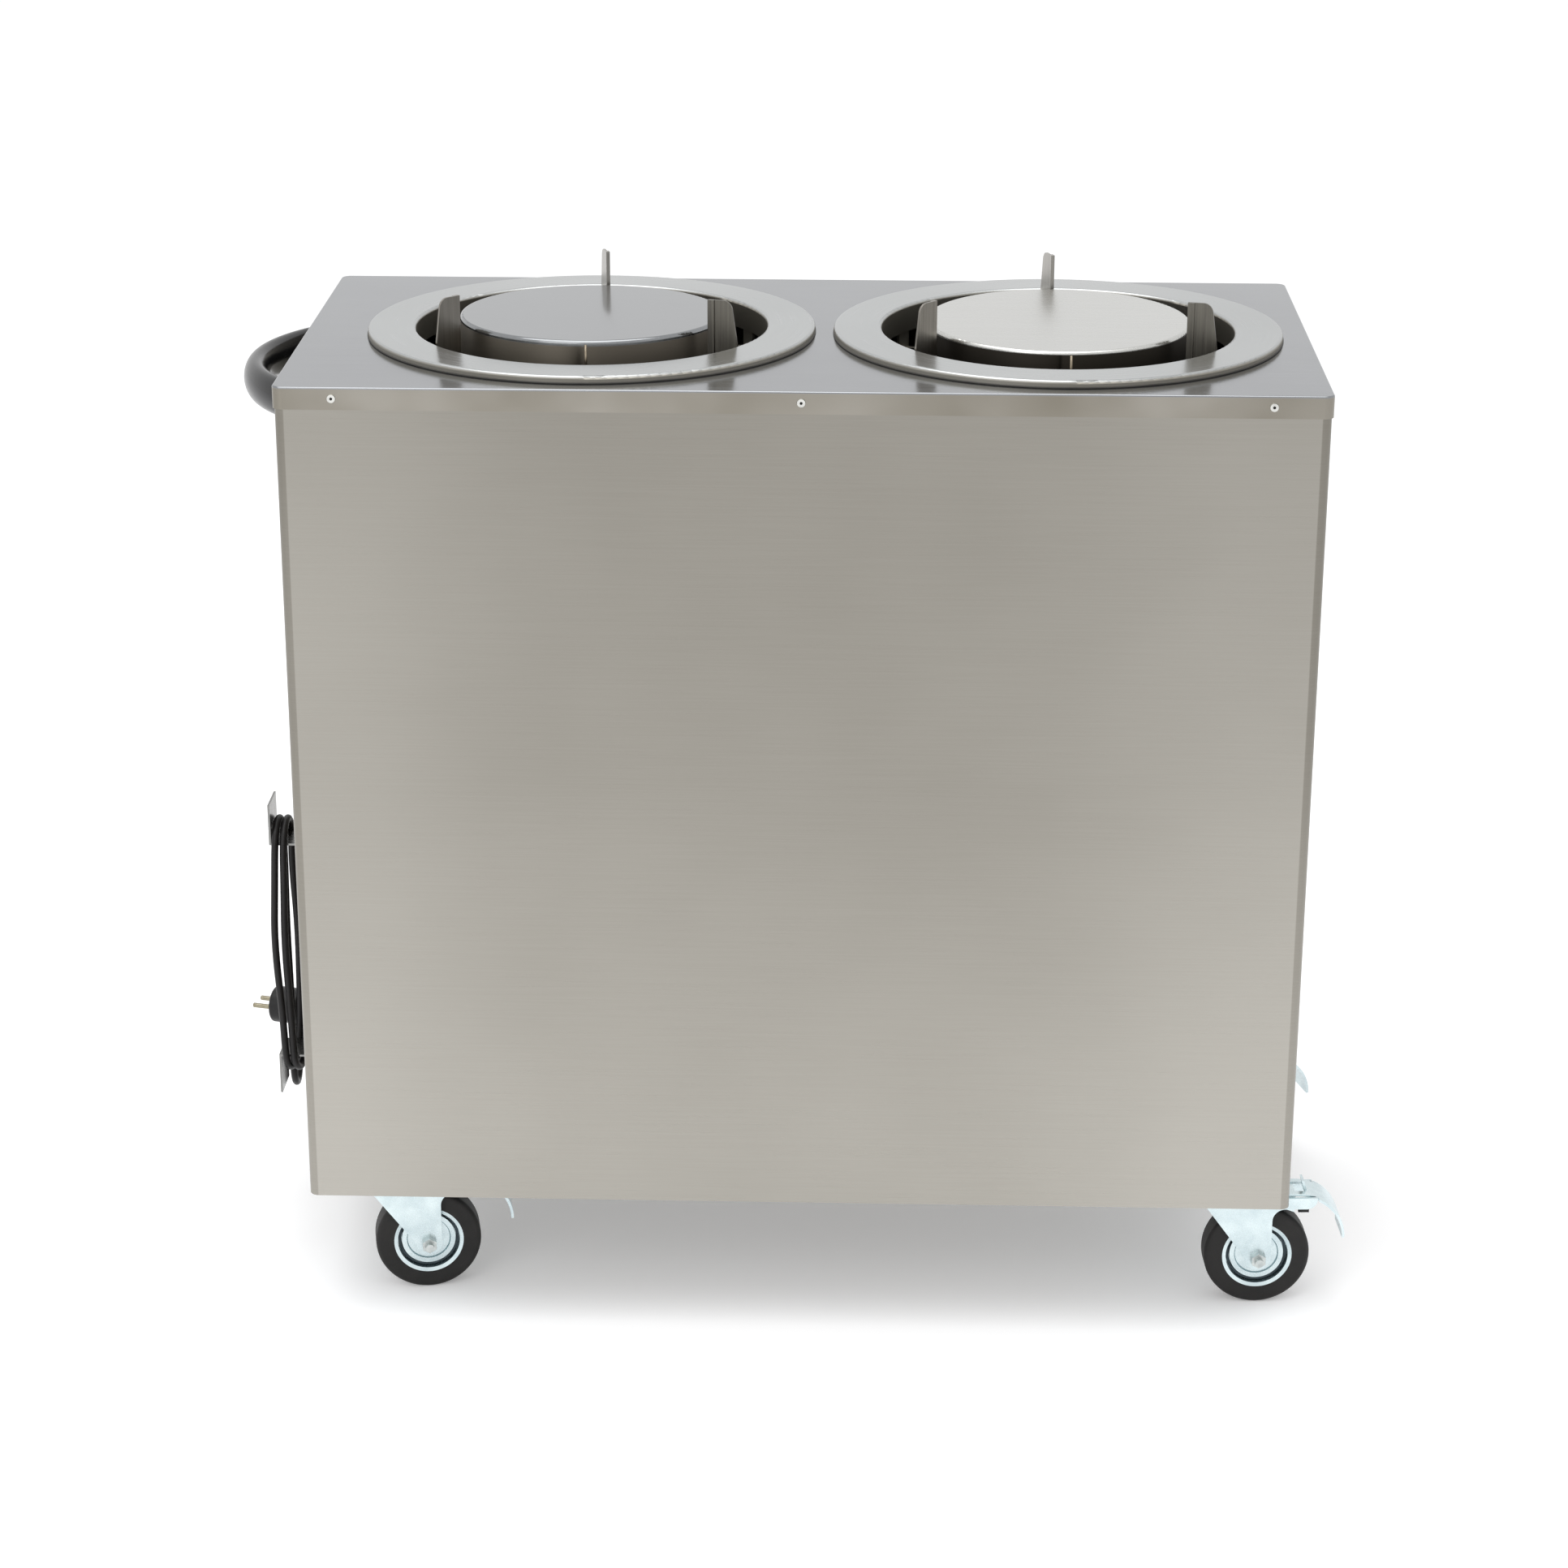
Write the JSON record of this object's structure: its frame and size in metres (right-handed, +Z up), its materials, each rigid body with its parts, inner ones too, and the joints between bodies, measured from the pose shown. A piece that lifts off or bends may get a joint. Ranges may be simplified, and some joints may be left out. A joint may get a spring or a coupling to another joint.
{
  "type": "plate dispenser cart",
  "caption": "Heated two-well plate dispenser cart: stainless cabinet on braked swivel casters, sprung round platforms, turning plate guides, push handle and mains cord wound on hooks.",
  "frame": {"origin": "on the floor under the middle of the cart, without its cord", "axes": "+X along the cart away from the push handle, +Y to the back, +Z up"},
  "size_m": [1.0673, 0.4474, 0.945],
  "materials": {
    "stainless_brushed": "brushed",
    "stainless_satin": "satin",
    "stainless_inner": "matt mill finish",
    "ring_steel": "fine satin",
    "spring_steel": "drawn wire",
    "zinc_plate": "bright zinc plated",
    "rivet_aluminium": "satin",
    "black_gloss_plastic": "moulded, glossy",
    "black_plastic": "moulded, matt",
    "cord_rubber": "extruded rubber",
    "plug_rubber": "moulded rubber",
    "plated_brass": "nickel-plated brass",
    "heater_alloy": "heat-tinted sheath",
    "switch_green": "moulded, translucent green",
    "tyre_rubber": "moulded rubber"
  },
  "bodies": {
    "root": {"top_cover": "stainless_satin", "front_panel": "stainless_brushed", "back_panel": "stainless_brushed", "left_side_panel": "stainless_brushed", "right_side_panel": "stainless_brushed", "base_plate": "stainless_inner", "corner_posts": "stainless_inner", "blind_rivets": "rivet_aluminium", "ring_left": "ring_steel", "ring_right": "ring_steel", "slide_rods": "stainless_inner", "cage_bases": "stainless_inner", "springs_left": "spring_steel", "springs_right": "spring_steel", "heating_elements": "heater_alloy", "push_handle": "black_gloss_plastic", "handle_screws": "zinc_plate", "cord_hooks": "stainless_satin", "cord_gland": "black_plastic", "cord_lead": "cord_rubber", "cord_winding": "cord_rubber", "cord_tail": "cord_rubber", "plug_body": "plug_rubber", "plug_pins": "plated_brass", "thermostat_body": "black_plastic", "switch_housing": "black_plastic", "caster_plates": "zinc_plate", "caster_bolts": "zinc_plate"},
    "lift_left": {"platform_left": "stainless_satin", "carriage_left": "stainless_inner"},
    "guide_left_back": {"guide_left_back": "stainless_inner"},
    "guide_left_front_left": {"guide_left_front_left": "stainless_inner"},
    "guide_left_front_right": {"guide_left_front_right": "stainless_inner"},
    "lift_right": {"platform_right": "stainless_satin", "carriage_right": "stainless_inner"},
    "guide_right_back": {"guide_right_back": "stainless_inner"},
    "guide_right_front_left": {"guide_right_front_left": "stainless_inner"},
    "guide_right_front_right": {"guide_right_front_right": "stainless_inner"},
    "knob": {"thermostat_knob": "black_plastic"},
    "rocker": {"switch_rocker": "switch_green"},
    "swivel_front_left": {"caster_fork_front_left": "zinc_plate", "wheel_axle_front_left": "zinc_plate"},
    "wheel_front_left": {"wheel_tyre_front_left": "tyre_rubber", "wheel_rim_front_left": "zinc_plate"},
    "pedal_front_left": {"brake_pedal_front_left": "zinc_plate"},
    "swivel_front_right": {"caster_fork_front_right": "zinc_plate", "wheel_axle_front_right": "zinc_plate"},
    "wheel_front_right": {"wheel_tyre_front_right": "tyre_rubber", "wheel_rim_front_right": "zinc_plate"},
    "pedal_front_right": {"brake_pedal_front_right": "zinc_plate"},
    "swivel_back_left": {"caster_fork_back_left": "zinc_plate", "wheel_axle_back_left": "zinc_plate"},
    "wheel_back_left": {"wheel_tyre_back_left": "tyre_rubber", "wheel_rim_back_left": "zinc_plate"},
    "pedal_back_left": {"brake_pedal_back_left": "zinc_plate"},
    "swivel_back_right": {"caster_fork_back_right": "zinc_plate", "wheel_axle_back_right": "zinc_plate"},
    "wheel_back_right": {"wheel_tyre_back_right": "tyre_rubber", "wheel_rim_back_right": "zinc_plate"},
    "pedal_back_right": {"brake_pedal_back_right": "zinc_plate"}
  },
  "joints": [
    {"name": "lift_left_slide", "type": "slide", "parent": "root", "child": "lift_left", "axis": [0, 0, 1], "range_m": [-0.45, 0], "stiffness_N_per_m": 545, "springref_m": 0.08, "deforming": ["springs_left"]},
    {"name": "guide_left_back_turn", "type": "hinge", "parent": "root", "child": "guide_left_back", "pos_m": [-0.196, 0.147, 0.55], "axis": [0, 0, 1], "range_deg": [-15, 60]},
    {"name": "guide_left_front_left_turn", "type": "hinge", "parent": "root", "child": "guide_left_front_left", "pos_m": [-0.32331, -0.0735, 0.55], "axis": [0, 0, 1], "range_deg": [-15, 60]},
    {"name": "guide_left_front_right_turn", "type": "hinge", "parent": "root", "child": "guide_left_front_right", "pos_m": [-0.06869, -0.0735, 0.55], "axis": [0, 0, 1], "range_deg": [-15, 60]},
    {"name": "lift_right_slide", "type": "slide", "parent": "root", "child": "lift_right", "axis": [0, 0, 1], "range_m": [-0.45, 0], "stiffness_N_per_m": 545, "springref_m": 0.08, "deforming": ["springs_right"]},
    {"name": "guide_right_back_turn", "type": "hinge", "parent": "root", "child": "guide_right_back", "pos_m": [0.22159, 0.14686, 0.55], "axis": [0, 0, 1], "range_deg": [-15, 60]},
    {"name": "guide_right_front_left_turn", "type": "hinge", "parent": "root", "child": "guide_right_front_left", "pos_m": [0.10402, -0.07898, 0.55], "axis": [0, 0, 1], "range_deg": [-15, 60]},
    {"name": "guide_right_front_right_turn", "type": "hinge", "parent": "root", "child": "guide_right_front_right", "pos_m": [0.35839, -0.06788, 0.55], "axis": [0, 0, 1], "range_deg": [-15, 60]},
    {"name": "thermostat_turn", "type": "hinge", "parent": "root", "child": "knob", "pos_m": [-0.46, 0.036, 0.7], "axis": [-1, 0, 0], "range_deg": [0, 270]},
    {"name": "switch_rock", "type": "hinge", "parent": "root", "child": "rocker", "pos_m": [-0.4546, -0.036, 0.7], "axis": [0, -1, 0], "range_deg": [0, 18]},
    {"name": "swivel_front_left_turn", "type": "hinge", "parent": "root", "child": "swivel_front_left", "pos_m": [-0.394, -0.148, 0.11], "axis": [0, 0, 1], "continuous": true},
    {"name": "wheel_front_left_spin", "type": "hinge", "parent": "swivel_front_left", "child": "wheel_front_left", "pos_m": [-0.35559, -0.14123, 0.05], "axis": [-0.1736, 0.9848, 0], "continuous": true},
    {"name": "pedal_front_left_press", "type": "hinge", "parent": "swivel_front_left", "child": "pedal_front_left", "pos_m": [-0.34181, -0.1388, 0.104], "axis": [-0.1736, 0.9848, 0], "range_deg": [0, 11]},
    {"name": "swivel_front_right_turn", "type": "hinge", "parent": "root", "child": "swivel_front_right", "pos_m": [0.394, -0.148, 0.11], "axis": [0, 0, 1], "continuous": true},
    {"name": "wheel_front_right_spin", "type": "hinge", "parent": "swivel_front_right", "child": "wheel_front_right", "pos_m": [0.43295, -0.14596, 0.05], "axis": [-0.0523, 0.9986, 0], "continuous": true},
    {"name": "pedal_front_right_press", "type": "hinge", "parent": "swivel_front_right", "child": "pedal_front_right", "pos_m": [0.44693, -0.14523, 0.104], "axis": [-0.0523, 0.9986, 0], "range_deg": [0, 11]},
    {"name": "swivel_back_left_turn", "type": "hinge", "parent": "root", "child": "swivel_back_left", "pos_m": [-0.394, 0.148, 0.11], "axis": [0, 0, 1], "continuous": true},
    {"name": "wheel_back_left_spin", "type": "hinge", "parent": "swivel_back_left", "child": "wheel_back_left", "pos_m": [-0.35521, 0.15208, 0.05], "axis": [-0.1045, 0.9945, 0], "continuous": true},
    {"name": "pedal_back_left_press", "type": "hinge", "parent": "swivel_back_left", "child": "pedal_back_left", "pos_m": [-0.34129, 0.15354, 0.104], "axis": [-0.1045, 0.9945, 0], "range_deg": [0, 11]},
    {"name": "swivel_back_right_turn", "type": "hinge", "parent": "root", "child": "swivel_back_right", "pos_m": [0.394, 0.148, 0.11], "axis": [0, 0, 1], "continuous": true},
    {"name": "wheel_back_right_spin", "type": "hinge", "parent": "swivel_back_right", "child": "wheel_back_right", "pos_m": [0.43149, 0.15875, 0.05], "axis": [-0.2756, 0.9613, 0], "continuous": true},
    {"name": "pedal_back_right_press", "type": "hinge", "parent": "swivel_back_right", "child": "pedal_back_right", "pos_m": [0.44495, 0.16261, 0.104], "axis": [-0.2756, 0.9613, 0], "range_deg": [0, 11]}
  ]
}
